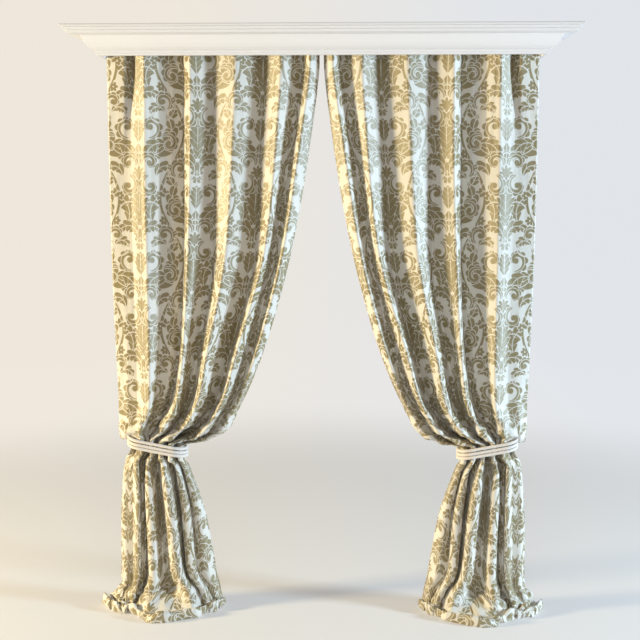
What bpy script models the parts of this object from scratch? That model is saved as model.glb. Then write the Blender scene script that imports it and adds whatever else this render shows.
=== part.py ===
"""A pair of floor-length curtains, each tied back with three cords, under a moulded cornice.

Metres, +Z up. The origin is the middle of the back face of the cornice board, which is screwed to the
wall. Below, "out" runs sideways from the middle of the window, "deep" runs from the wall into the
room, which is -Y, and "high" runs up from the floor.
"""

import math
from collections import namedtuple

import bmesh
import bpy
import numpy as np

# Cornice: heights and how far it stands out
TOTAL_HEIGHT = 2.750
BOARD_THICKNESS = 0.018
FILLET_OUT = 1.005
FILLET_DEEP = 0.207
WALL_THICKNESS = 0.012
SEAM = 0.0003

# Cloth: one straight width of damask a side
CLOTH_THICKNESS = 0.0025
SEGMENTS_PER_FLANK = 4

# Ties: three cords in a stadium-shaped loop round the gathered cloth
CORD_DIAMETER = 0.016
CORD_PITCH = 0.0172
CORDS_A_SIDE = 3
TIE_OUT = 0.7845
TIE_DEEP = 0.125
TIE_HIGH = 0.812
TIE_SLOPE = 0.19
GATHER_HALF_WIDTH = 0.130
GATHER_HALF_DEPTH = 0.055
CORD_ARC_STEPS = 10
CORD_RUN_STEPS = 3
END_FOLD_SLACK = 0.86

FLOOR_Z = BOARD_THICKNESS / 2 - TOTAL_HEIGHT

# Moulding outline from its top to its foot: how far past the foot's face, and how far below the top
Corner = namedtuple("Corner", "proud down")
MOULDING = (
    Corner(0.137, 0.000),
    Corner(0.137, 0.011),
    Corner(0.124, 0.013),
    Corner(0.124, 0.023),
    Corner(0.113, 0.025),
    Corner(0.113, 0.036),
    Corner(0.061, 0.047),
    Corner(0.053, 0.060),
    Corner(0.045, 0.076),
    Corner(0.034, 0.089),
    Corner(0.020, 0.098),
    Corner(0.008, 0.1015),
    Corner(0.008, 0.1150),
    Corner(0.000, 0.1165),
    Corner(0.000, 0.1230),
)

# Heights at which the folds are laid out. A row of cloth runs from its outer to its inner height, and
# arches above that line in its middle.
Level = namedtuple("Level", "name outer_high inner_high arch back depth rows")
LEVELS = (
    Level("head", 2.7317, 2.7317, 0.000, 0.092, 0.052, 1),
    Level("top", 2.600, 2.600, 0.000, 0.090, 0.056, 2),
    Level("chest", 2.185, 2.185, 0.000, 0.088, 0.060, 2),
    Level("middle", 1.750, 1.750, 0.000, 0.085, 0.070, 3),
    Level("low", 1.280, 1.280, 0.000, 0.080, 0.084, 2),
    Level("swag", 1.040, 1.040, 0.000, 0.072, 0.102, 2),
    Level("gather", 0.925, 0.900, 0.012, 0.068, 0.112, 1),
    Level("lobe", 0.882, 0.832, 0.024, 0.067, 0.114, 2),
    Level("tie_top", 0.8690, 0.8195, 0.000, 0.070, 0.110, 1),
    Level("tie_foot", 0.7990, 0.7500, 0.000, 0.070, 0.110, 2),
    Level("neck", 0.730, 0.705, 0.000, 0.060, 0.128, 2),
    Level("skirt", 0.490, 0.490, 0.000, 0.060, 0.126, 2),
    Level("shin", 0.190, 0.190, 0.000, 0.060, 0.122, 1),
    Level("floor", 0.105, 0.105, 0.000, 0.045, 0.133, 1),
)

# Crests and valleys of the folds, from the outer to the inner edge. Each row says how far out the
# line lies at each level, and how far into the room: 0 is the back of the folds and 1 their front.
Fold = namedtuple("Fold", "name top chest middle low swag gather lobe tie neck skirt shin floor "
                          "front_up front_middle front_down front_floor")
FOLDS = (
    Fold("outer_edge", 0.986, 0.989, 0.988, 0.980, 0.974, 0.974, 0.968, 0.914,
         0.949, 0.972, 0.981, 0.990, 0.45, 0.30, 0.20, 0.12),
    Fold("crest_0", 0.904, 0.914, 0.919, 0.919, 0.920, 0.932, 0.933, 0.894,
         0.927, 0.946, 0.945, 0.955, 0.70, 0.50, 0.60, 0.50),
    Fold("valley_0", 0.876, 0.886, 0.887, 0.879, 0.880, 0.898, 0.904, 0.873,
         0.905, 0.911, 0.918, 0.930, 0.30, 0.56, 0.15, 0.44),
    Fold("crest_1", 0.809, 0.813, 0.814, 0.812, 0.816, 0.841, 0.860, 0.851,
         0.880, 0.878, 0.884, 0.898, 1.00, 1.00, 0.80, 0.85),
    Fold("valley_1", 0.640, 0.646, 0.654, 0.682, 0.728, 0.790, 0.817, 0.829,
         0.855, 0.850, 0.855, 0.872, 0.00, 0.00, 0.10, 0.25),
    Fold("crest_2", 0.600, 0.606, 0.621, 0.652, 0.682, 0.745, 0.786, 0.807,
         0.828, 0.820, 0.812, 0.828, 0.85, 0.80, 0.90, 1.00),
    Fold("valley_2", 0.505, 0.510, 0.516, 0.590, 0.636, 0.705, 0.757, 0.786,
         0.797, 0.782, 0.765, 0.742, 0.15, 0.10, 0.05, 0.55),
    Fold("crest_3", 0.393, 0.411, 0.443, 0.534, 0.581, 0.655, 0.720, 0.763,
         0.750, 0.722, 0.690, 0.640, 1.00, 1.00, 1.00, 1.00),
    Fold("valley_3", 0.268, 0.294, 0.319, 0.433, 0.499, 0.600, 0.683, 0.740,
         0.706, 0.680, 0.655, 0.602, 0.00, 0.00, 0.00, 0.25),
    Fold("crest_4", 0.184, 0.213, 0.264, 0.396, 0.466, 0.560, 0.652, 0.718,
         0.684, 0.652, 0.628, 0.578, 0.95, 1.00, 0.80, 0.80),
    Fold("valley_4", 0.096, 0.152, 0.220, 0.337, 0.426, 0.525, 0.628, 0.697,
         0.664, 0.628, 0.600, 0.556, 0.10, 0.10, 0.10, 0.45),
    Fold("crest_5", 0.052, 0.108, 0.178, 0.302, 0.393, 0.490, 0.602, 0.676,
         0.646, 0.600, 0.563, 0.530, 0.90, 0.95, 0.50, 0.52),
    Fold("inner_edge", 0.010, 0.061, 0.140, 0.271, 0.370, 0.458, 0.577, 0.655,
         0.627, 0.567, 0.515, 0.502, 0.35, 0.45, 0.05, 0.12),
)

# Heights at which the last four columns hold, from the floor up
FRONT_HEIGHTS = (0.10, 0.55, 1.55, 2.40)

# The cloth on the floor, by its turn round a point at the wall, from straight out to straight in: how
# far the folds reach where they meet the floor, how far the hem reaches, and how high the cloth rolls
PUDDLE_OUT = 0.780
PUDDLE_DEEP = 0.020
Lobe = namedtuple("Lobe", "turn foot reach crown")
LOBES = (
    Lobe(3, 0.212, 0.290, 0.036),
    Lobe(12, 0.208, 0.300, 0.054),
    Lobe(22, 0.203, 0.286, 0.042),
    Lobe(34, 0.196, 0.284, 0.056),
    Lobe(46, 0.187, 0.250, 0.036),
    Lobe(57, 0.177, 0.240, 0.052),
    Lobe(68, 0.170, 0.236, 0.032),
    Lobe(80, 0.166, 0.290, 0.056),
    Lobe(91, 0.168, 0.298, 0.040),
    Lobe(103, 0.176, 0.316, 0.056),
    Lobe(115, 0.190, 0.296, 0.038),
    Lobe(128, 0.208, 0.300, 0.056),
    Lobe(140, 0.228, 0.278, 0.036),
    Lobe(152, 0.248, 0.308, 0.056),
    Lobe(164, 0.266, 0.298, 0.042),
    Lobe(177, 0.280, 0.314, 0.034),
)
# Rows from the foot of the folds to the hem: share of the way to the hem's reach, how much of the
# folds' depth is left, and share of the roll's height
Ring = namedtuple("Ring", "spread fold high")
RINGS = (
    Ring(0.35, 0.72, 1.38),
    Ring(0.70, 0.52, 1.12),
    Ring(0.93, 0.42, 0.85),
    Ring(1.00, 0.38, 0.45),
    Ring(0.98, 0.38, 0.00),
)
HEM_HIGH = 0.0016


def place(out, deep, high, side):
    """World point from the distances out, into the room and up. Side is -1 on the left."""
    return np.stack(np.broadcast_arrays(side * out, -deep, high + FLOOR_Z), axis=-1)


def smooth_curve(knots, values, at):
    """Cubic through the values without overshoot: each knot's slope is the harmonic mean of the two
    slopes beside it, and nought at a turn."""
    knots = np.asarray(knots, float)
    values = np.asarray(values, float)
    tail = (1,) * (values.ndim - 1)
    steps = np.diff(knots).reshape((-1,) + tail)
    slopes = np.diff(values, axis=0) / steps
    before, after = slopes[:-1], slopes[1:]
    same_way = before * after > 0
    total = np.where(same_way, before + after, 1.0)
    inner = np.where(same_way, 2 * before * after / total, 0.0)
    ends = np.concatenate([slopes[:1], inner, slopes[-1:]])
    span = np.clip(np.searchsorted(knots, at, side="right") - 1, 0, len(knots) - 2)
    width = steps[span]
    t = ((at - knots[span]) / np.diff(knots)[span]).reshape((-1,) + tail)
    low, high = values[span], values[span + 1]
    rise = 3 * t**2 - 2 * t**3
    lead = (t**3 - 2 * t**2 + t) * width
    trail = (t**3 - t**2) * width
    return low + (high - low) * rise + ends[span] * lead + ends[span + 1] * trail


def gather_half_depth(out):
    """Half depth of the stadium that the cords draw the cloth into."""
    past = np.abs(out - TIE_OUT) - (GATHER_HALF_WIDTH - GATHER_HALF_DEPTH)
    return np.sqrt(np.clip(GATHER_HALF_DEPTH**2 - np.clip(past, 0, None)**2, 0, None))


def fold_lines():
    """Out and depth of each fold line at each level, as arrays of levels by lines."""
    outs, deeps = [], []
    for level in LEVELS:
        column = {"head": "top", "tie_top": "tie", "tie_foot": "tie"}.get(level.name, level.name)
        out = np.array([getattr(fold, column) for fold in FOLDS])
        high = (level.outer_high + level.inner_high) / 2
        front = np.array([np.interp(high, FRONT_HEIGHTS, (fold.front_floor, fold.front_down,
                                                          fold.front_middle, fold.front_up))
                          for fold in FOLDS])
        deep = level.back + level.depth * front
        if column == "tie":
            toward = np.sign(front - 0.5)
            toward[[0, -1]] = 0
            slack = np.full(len(FOLDS), 1.0)
            slack[[1, 2, -3, -2]] = END_FOLD_SLACK
            deep = TIE_DEEP + toward * slack * gather_half_depth(out)
        outs.append(out)
        deeps.append(deep)
    return np.array(outs), np.array(deeps)


def flanks(out, deep):
    """Points of each row from line to line. A flank is two equal arcs, which leave both lines
    parallel to the wall, with a straight run between them where it is deeper than it is wide."""
    width = np.abs(np.diff(out, axis=1))[..., None]
    depth = np.abs(np.diff(deep, axis=1))[..., None]
    toward = np.sign(np.diff(deep, axis=1))[..., None]
    turn = np.clip(2 * np.arctan2(depth, width), 1e-3, math.pi / 2)
    radius = width / (2 * np.sin(turn))
    run = np.clip(depth - width, 0, None)
    length = 2 * radius * turn + run
    share = np.arange(SEGMENTS_PER_FLANK) / SEGMENTS_PER_FLANK
    past_middle = share > 0.5
    along = np.where(past_middle, 1 - share, share) * length
    angle = np.minimum(along / radius, turn)
    straight = np.clip(along - radius * turn, 0, None)
    across = radius * np.sin(angle)
    into = radius * (1 - np.cos(angle)) + straight
    across = np.where(past_middle, width - across, across)
    into = np.where(past_middle, depth - into, into)
    rows = len(out)
    outs = (out[:, :-1, None] - across).reshape(rows, -1)
    deeps = (deep[:, :-1, None] + toward * into).reshape(rows, -1)
    return np.hstack([outs, out[:, -1:]]), np.hstack([deeps, deep[:, -1:]])


def hanging_rows():
    """Out, depth and height of the cloth from its head down to the foot of the folds."""
    knots = np.arange(len(LEVELS))
    stops = [np.arange(level.rows) / level.rows + k for k, level in enumerate(LEVELS[:-1])]
    at = np.concatenate(stops + [knots[-1:]])
    outs, deeps = fold_lines()
    out, deep = flanks(smooth_curve(knots, outs, at), smooth_curve(knots, deeps, at))
    ends = np.array([(level.outer_high, level.inner_high, level.arch) for level in LEVELS])
    outer, inner, arch = smooth_curve(knots, ends, at).T[..., None]
    share = (out - out[:, -1:]) / (out[:, :1] - out[:, -1:])
    return out, deep, inner + (outer - inner) * share + 4 * arch * share * (1 - share)


def puddle_rows(out, deep):
    """Out, depth and height of the cloth that lies on the floor. Each point of the lowest hanging row
    moves straight away from the puddle's middle, and the valleys move most."""
    out = out - PUDDLE_OUT
    deep = deep - PUDDLE_DEEP
    turn = np.degrees(np.arctan2(deep, out))
    foot, reach, crown = smooth_curve([lobe.turn for lobe in LOBES], [lobe[1:] for lobe in LOBES], turn).T
    inward = np.hypot(out, deep) / foot
    rows = []
    angle = np.radians(turn)
    for ring in RINGS:
        distance = (foot + (reach - foot) * ring.spread) * inward**ring.fold
        rows.append((PUDDLE_OUT + distance * np.cos(angle), PUDDLE_DEEP + distance * np.sin(angle),
                     np.maximum(crown * ring.high, HEM_HIGH)))
    return [np.array(column) for column in zip(*rows)]


def add_panel(name, side, collection, material):
    """One curtain: a grid of cloth, given its thickness."""
    hanging = hanging_rows()
    lying = puddle_rows(hanging[0][-1], hanging[1][-1])
    out, deep, high = (np.vstack(pair) for pair in zip(hanging, lying))
    points = place(out, deep, high, side)
    rows, columns = out.shape
    index = np.arange(rows * columns).reshape(rows, columns)
    outer_top, outer_foot = index[:-1, :-1], index[1:, :-1]
    inner_top, inner_foot = index[:-1, 1:], index[1:, 1:]
    halves = [np.stack(corners, axis=-1).reshape(-1, 3)
              for corners in ((outer_top, outer_foot, inner_top), (inner_top, outer_foot, inner_foot))]
    triangles = np.vstack(halves)
    if side > 0:
        triangles = triangles[:, ::-1]
    mesh = bpy.data.meshes.new(name)
    mesh.from_pydata(points.reshape(-1, 3).tolist(), [], triangles.tolist())
    mesh.shade_smooth()
    panel = add_object(name, mesh, collection, material)
    shell = panel.modifiers.new("thickness", "SOLIDIFY")
    shell.thickness = CLOTH_THICKNESS
    shell.offset = 0.0
    return panel


def add_object(name, data, collection, material):
    """Link a new object with its material."""
    thing = bpy.data.objects.new(name, data)
    data.materials.append(material)
    collection.objects.link(thing)
    return thing


def tie_loop():
    """Out and depth of the cords' centre line: two straight runs and two half circles."""
    grow = CLOTH_THICKNESS / 2 + SEAM + CORD_DIAMETER / 2
    radius = GATHER_HALF_DEPTH + grow
    half_run = GATHER_HALF_WIDTH - GATHER_HALF_DEPTH
    points = []
    for start in (0, 180):
        heading = math.cos(math.radians(start))
        for step in range(CORD_ARC_STEPS):
            angle = math.radians(start - 90 + 180 * step / CORD_ARC_STEPS)
            points.append((heading * half_run + radius * math.cos(angle), radius * math.sin(angle)))
        for step in range(CORD_RUN_STEPS):
            along = 1 - 2 * step / CORD_RUN_STEPS
            points.append((heading * half_run * along, heading * radius))
    return points


def add_cord(name, side, order, collection, material):
    """One closed cord, slanting down towards the window."""
    curve = bpy.data.curves.new(name, "CURVE")
    curve.dimensions = "3D"
    curve.bevel_depth = CORD_DIAMETER / 2
    curve.bevel_resolution = 2
    loop = tie_loop()
    spline = curve.splines.new("POLY")
    spline.points.add(len(loop) - 1)
    spline.use_cyclic_u = True
    lift = ((CORDS_A_SIDE - 1) / 2 - order) * CORD_PITCH
    for point, (out, deep) in zip(spline.points, loop):
        high = TIE_HIGH + TIE_SLOPE * out + lift
        spot = place(TIE_OUT + out, TIE_DEEP + deep, high, side)
        point.co = (*spot, 1.0)
    return add_object(name, curve, collection, material)


def add_moulding(name, start, run, mitre_start, mitre_end, collection, material):
    """A length of moulding. Its outline is drawn at the start, facing away from the room's middle
    line, extruded along the run, and each end that meets a neighbour is cut to a mitre."""
    run = np.array(run, float)
    along = run / np.linalg.norm(run)
    outward = np.array((along[1], -along[0], 0.0))
    top = FLOOR_Z + TOTAL_HEIGHT
    outline = [(corner.proud, -corner.down) for corner in MOULDING]
    outline += [(-WALL_THICKNESS, -MOULDING[-1].down), (-WALL_THICKNESS, 0.0)]
    form = bmesh.new()
    corners = []
    for proud, rise in outline:
        spot = np.array(start, float) + outward * proud + (0, 0, top + rise)
        corners.append(form.verts.new(spot - along * proud * mitre_start))
    face = form.faces.new(corners)
    made = bmesh.ops.extrude_face_region(form, geom=[face])
    far = [item for item in made["geom"] if isinstance(item, bmesh.types.BMVert)]
    for vert in far:
        proud = (np.array(vert.co) - start) @ outward
        vert.co += type(vert.co)(run + along * proud * (mitre_start + mitre_end))
    bmesh.ops.recalc_face_normals(form, faces=form.faces)
    mesh = bpy.data.meshes.new(name)
    form.to_mesh(mesh)
    form.free()
    return add_object(name, mesh, collection, material)


def add_cornice(collection, material):
    """The front moulding, its two returns to the wall, and the board that carries them."""
    seam = SEAM * math.sqrt(0.5)
    add_moulding("cornice_front", (-FILLET_OUT + seam, -FILLET_DEEP, 0),
                 (2 * (FILLET_OUT - seam), 0, 0), 1, 1, collection, material)
    add_moulding("cornice_return_left", (-FILLET_OUT, 0, 0),
                 (0, -FILLET_DEEP + seam, 0), 0, 1, collection, material)
    add_moulding("cornice_return_right", (FILLET_OUT, -FILLET_DEEP + seam, 0),
                 (0, FILLET_DEEP - seam, 0), 1, 0, collection, material)
    half_width = FILLET_OUT - WALL_THICKNESS - SEAM
    depth = FILLET_DEEP - WALL_THICKNESS - SEAM
    form = bmesh.new()
    bmesh.ops.create_cube(form, size=1.0)
    bmesh.ops.scale(form, vec=(2 * half_width, depth, BOARD_THICKNESS), verts=form.verts)
    bmesh.ops.translate(form, vec=(0, -depth / 2, 0), verts=form.verts)
    mesh = bpy.data.meshes.new("cornice_board")
    form.to_mesh(mesh)
    form.free()
    add_object("cornice_board", mesh, collection, material)


def new_material(name, colour, roughness):
    """A plain finish."""
    material = bpy.data.materials.new(name)
    material.use_nodes = True
    shader = material.node_tree.nodes["Principled BSDF"]
    shader.inputs["Base Color"].default_value = (*colour, 1.0)
    shader.inputs["Roughness"].default_value = roughness
    shader.inputs["Metallic"].default_value = 0.0
    return material


def main():
    """Build every piece."""
    for thing in list(bpy.data.objects):
        bpy.data.objects.remove(thing, do_unlink=True)
    collection = bpy.data.collections.new("tied_back_curtains")
    bpy.context.scene.collection.children.link(collection)
    damask = new_material("damask", (0.58, 0.52, 0.39), 0.55)
    silk_cord = new_material("silk_cord", (0.80, 0.73, 0.67), 0.60)
    paint = new_material("white_paint", (0.87, 0.86, 0.84), 0.45)
    add_cornice(collection, paint)
    for side, hand in ((-1, "left"), (1, "right")):
        add_panel(f"panel_{hand}", side, collection, damask)
        for order in range(CORDS_A_SIDE):
            add_cord(f"tie_{hand}_{order + 1}", side, order, collection, silk_cord)


main()
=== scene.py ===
"""Looks of a pair of tied-back damask curtains under a moulded cornice.

Metres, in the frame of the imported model: +Z up, -Y into the room, and the origin on the wall at the
cornice board. Below, "out" is the distance sideways from the middle of the window, "deep" the distance
from the wall into the room and "high" the height above the floor. "Across" and "down" are measured on
the flat cloth, from its outer edge and from its head.
"""

import logging
import math
from dataclasses import dataclass
from enum import Enum
from typing import Sequence, Union

import bpy
import numpy as np
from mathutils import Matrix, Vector


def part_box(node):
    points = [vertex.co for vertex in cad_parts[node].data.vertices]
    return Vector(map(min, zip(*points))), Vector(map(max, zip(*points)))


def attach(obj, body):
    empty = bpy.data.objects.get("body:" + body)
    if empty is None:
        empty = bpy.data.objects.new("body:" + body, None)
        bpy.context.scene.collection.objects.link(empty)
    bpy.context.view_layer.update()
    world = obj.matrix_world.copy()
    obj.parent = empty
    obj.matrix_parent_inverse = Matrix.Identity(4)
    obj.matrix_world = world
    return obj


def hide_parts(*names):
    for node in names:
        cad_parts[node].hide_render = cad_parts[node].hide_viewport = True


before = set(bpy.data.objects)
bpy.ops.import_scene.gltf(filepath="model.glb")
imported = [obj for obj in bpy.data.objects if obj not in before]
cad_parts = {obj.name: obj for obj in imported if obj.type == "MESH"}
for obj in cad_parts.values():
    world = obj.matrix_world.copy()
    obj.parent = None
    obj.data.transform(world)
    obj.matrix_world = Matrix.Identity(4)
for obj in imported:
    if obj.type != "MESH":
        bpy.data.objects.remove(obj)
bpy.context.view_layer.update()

BODY = "root"
TOTAL_HEIGHT = 2.750
CORNICE_TOP = float(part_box("cornice_front")[1][2])
FLOOR_Z = CORNICE_TOP - TOTAL_HEIGHT

log = logging.getLogger("curtains")

Array = np.ndarray
Colour = tuple[float, float, float]


class Side(Enum):
    """Which curtain of the pair, by the sign of its X."""

    LEFT = -1
    RIGHT = 1


# Small helpers for arrays and meshes


def smooth_curve(knots: Sequence[float], values: Array, at: Array) -> Array:
    """Cubic through the values without overshoot.

    Each knot's slope is the harmonic mean of the two slopes beside it, and nought at a turn.

    Args:
        knots: places of the values, rising.
        values: one row for each knot.
        at: places to read.

    Returns:
        One row for each place.
    """
    knots = np.asarray(knots, float)
    values = np.asarray(values, float)
    tail = (1,) * (values.ndim - 1)
    steps = np.diff(knots).reshape((-1,) + tail)
    slopes = np.diff(values, axis=0) / steps
    before, after = slopes[:-1], slopes[1:]
    same_way = before * after > 0
    total = np.where(same_way, before + after, 1.0)
    inner = np.where(same_way, 2 * before * after / total, 0.0)
    ends = np.concatenate([slopes[:1], inner, slopes[-1:]])
    span = np.clip(np.searchsorted(knots, at, side="right") - 1, 0, len(knots) - 2)
    width = steps[span]
    t = ((at - knots[span]) / np.diff(knots)[span]).reshape((-1,) + tail)
    low, high = values[span], values[span + 1]
    rise = 3 * t**2 - 2 * t**3
    lead = (t**3 - 2 * t**2 + t) * width
    trail = (t**3 - t**2) * width
    return low + (high - low) * rise + ends[span] * lead + ends[span + 1] * trail


def smooth_step(low: float, high: float, value: Array) -> Array:
    """0 below low, 1 above high, and 3t^2 - 2t^3 between."""
    t = np.clip((value - low) / (high - low), 0, 1)
    return t * t * (3 - 2 * t)


def soft_noise(x: Array, y: Array, seed: int) -> Array:
    """Smooth random hills, about one to each unit square, from -1 to 1.

    The four lattice values round a point are blended with 3t^2 - 2t^3.

    Args:
        x: first coordinate.
        y: second coordinate, of the same shape.
        seed: picks the lattice.

    Returns:
        The height at each point.
    """
    size = 64
    lattice = np.random.default_rng(seed).uniform(-1, 1, (size, size))
    column, row = np.floor(x).astype(int), np.floor(y).astype(int)
    across, along = x - column, y - row
    across = across * across * (3 - 2 * across)
    along = along * along * (3 - 2 * along)
    left, right = column % size, (column + 1) % size
    low, high = row % size, (row + 1) % size
    near = lattice[low, left] * (1 - across) + lattice[low, right] * across
    far = lattice[high, left] * (1 - across) + lattice[high, right] * across
    return near * (1 - along) + far * along


def place(out: Array, deep: Array, high: Array, side: Side) -> Array:
    """World points from the distances out, into the room and above the floor."""
    return np.stack(np.broadcast_arrays(side.value * out, -deep, high + FLOOR_Z), axis=-1)


def grid_faces(rows: int, columns: int, flip: bool, wrap: bool = False) -> Array:
    """Quads of a grid of points.

    Args:
        rows: number of rows of points.
        columns: number of points in a row.
        flip: turn the faces over.
        wrap: join the last column to the first.

    Returns:
        Four point numbers for each quad.
    """
    index = np.arange(rows * columns).reshape(rows, columns)
    if wrap:
        index = np.hstack([index, index[:, :1]])
    quads = np.stack([index[:-1, :-1], index[1:, :-1], index[1:, 1:], index[:-1, 1:]], axis=-1)
    quads = quads.reshape(-1, 4)
    return quads[:, ::-1] if flip else quads


def new_piece(name: str, points: Array, faces: list[list[int]], material: bpy.types.Material,
              flat_faces: int = 0) -> bpy.types.Object:
    """Link a mesh as a piece that rides on the body.

    Args:
        name: name of the piece.
        points: array of points by three.
        faces: point numbers of each face.
        material: finish of the whole piece.
        flat_faces: how many of the last faces are shaded flat, and not smooth.

    Returns:
        The new object, at the origin.
    """
    mesh = bpy.data.meshes.new(name)
    mesh.from_pydata(points.reshape(-1, 3).tolist(), [], faces)
    mesh.polygons.foreach_set("use_smooth", np.arange(len(faces)) < len(faces) - flat_faces)
    mesh.materials.append(material)
    mesh.validate()
    piece = bpy.data.objects.new(name, mesh)
    bpy.context.scene.collection.objects.link(piece)
    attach(piece, BODY)
    return piece


def add_uv(piece: bpy.types.Object, across: Array, down: Array) -> None:
    """Give each point of the piece its place on the flat cloth.

    Args:
        piece: the cloth.
        across: distance of each point from the cloth's outer edge.
        down: distance of each point from its head.
    """
    mesh = piece.data
    corners = np.empty(len(mesh.loops), dtype=np.int32)
    mesh.loops.foreach_get("vertex_index", corners)
    flat = np.stack([across.ravel(), down.ravel()], axis=-1)[corners]
    layer = mesh.uv_layers.new(name="cloth")
    layer.data.foreach_set("uv", flat.astype(np.float32).ravel())


# Numbers over a surface, in shader nodes


Number = Union["Field", float]
TURN = 2 * math.pi


class Field:
    """A number at each point of a surface, worked out by a material's math nodes."""

    def __init__(self, tree: bpy.types.NodeTree, socket: bpy.types.NodeSocket) -> None:
        """Wrap a socket of the tree."""
        self.tree = tree
        self.socket = socket

    def math(self, operation: str, *others: Number, clamp: bool = False) -> "Field":
        """Add one math node.

        Args:
            operation: Blender's name of the operation.
            others: its second and third inputs.
            clamp: keep the result between 0 and 1.

        Returns:
            The node's result.
        """
        node = self.tree.nodes.new("ShaderNodeMath")
        node.operation = operation
        node.use_clamp = clamp
        for slot, value in enumerate((self, *others)):
            if isinstance(value, Field):
                self.tree.links.new(value.socket, node.inputs[slot])
            else:
                node.inputs[slot].default_value = value
        return Field(self.tree, node.outputs[0])

    def __add__(self, other: Number) -> "Field":
        """Sum."""
        return self.math("ADD", other)

    def __sub__(self, other: Number) -> "Field":
        """Difference."""
        return self.math("SUBTRACT", other)

    def __mul__(self, other: Number) -> "Field":
        """Product."""
        return self.math("MULTIPLY", other)

    def __truediv__(self, other: Number) -> "Field":
        """Quotient."""
        return self.math("DIVIDE", other)

    def __pow__(self, other: float) -> "Field":
        """Power."""
        return self.math("POWER", other)

    def size(self) -> "Field":
        """The value without its sign."""
        return self.math("ABSOLUTE")

    def larger(self, other: Number) -> "Field":
        """The larger of two values."""
        return self.math("MAXIMUM", other)

    def smaller(self, other: Number) -> "Field":
        """The smaller of two values."""
        return self.math("MINIMUM", other)

    def line(self, slope: Number, start: Number) -> "Field":
        """start + slope times the value."""
        return self.math("MULTIPLY_ADD", slope, start)

    def ramp(self, slope: float, start: float) -> "Field":
        """start + slope times the value, kept between 0 and 1."""
        return self.math("MULTIPLY_ADD", slope, start, clamp=True)


@dataclass(frozen=True)
class Leaf:
    """A lobed leaf whose spine is an arc of a circle, or a plain tapering stroke without lobes.

    Attributes:
        across: the circle's middle, from the mirror line.
        up: the circle's middle, from the repeat's start.
        radius: radius of the spine.
        start: direction of the leaf's root from the circle's middle, in degrees.
        sweep: degrees from root to tip, negative to run clockwise.
        width: half width of the leaf at its fullest.
        lobes: lobes on each side, or 0.
    """

    across: float
    up: float
    radius: float
    start: float
    sweep: float
    width: float
    lobes: int = 0


@dataclass(frozen=True)
class Scroll:
    """A tapering stroke that winds in to a round bulb.

    Attributes:
        across: middle of the coil, from the mirror line.
        up: middle of the coil, from the repeat's start.
        radius: distance of the stroke's outer end from the middle.
        start: direction of that end, in degrees.
        turns: turns from there to the bulb, negative to wind clockwise.
        width: half width of the stroke at its fullest.
        lobes: lobes of the frill along each turn's outer side.
    """

    across: float
    up: float
    radius: float
    start: float
    turns: float
    width: float
    lobes: int


@dataclass(frozen=True)
class Flower:
    """A round flower.

    Attributes:
        across: its middle, from the mirror line.
        up: its middle, from the repeat's start.
        radius: reach of a petal.
        petals: number of petals.
        notch: share of the radius cut away between petals.
        eye: radius of the light eye.
    """

    across: float
    up: float
    radius: float
    petals: int
    notch: float
    eye: float


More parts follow.
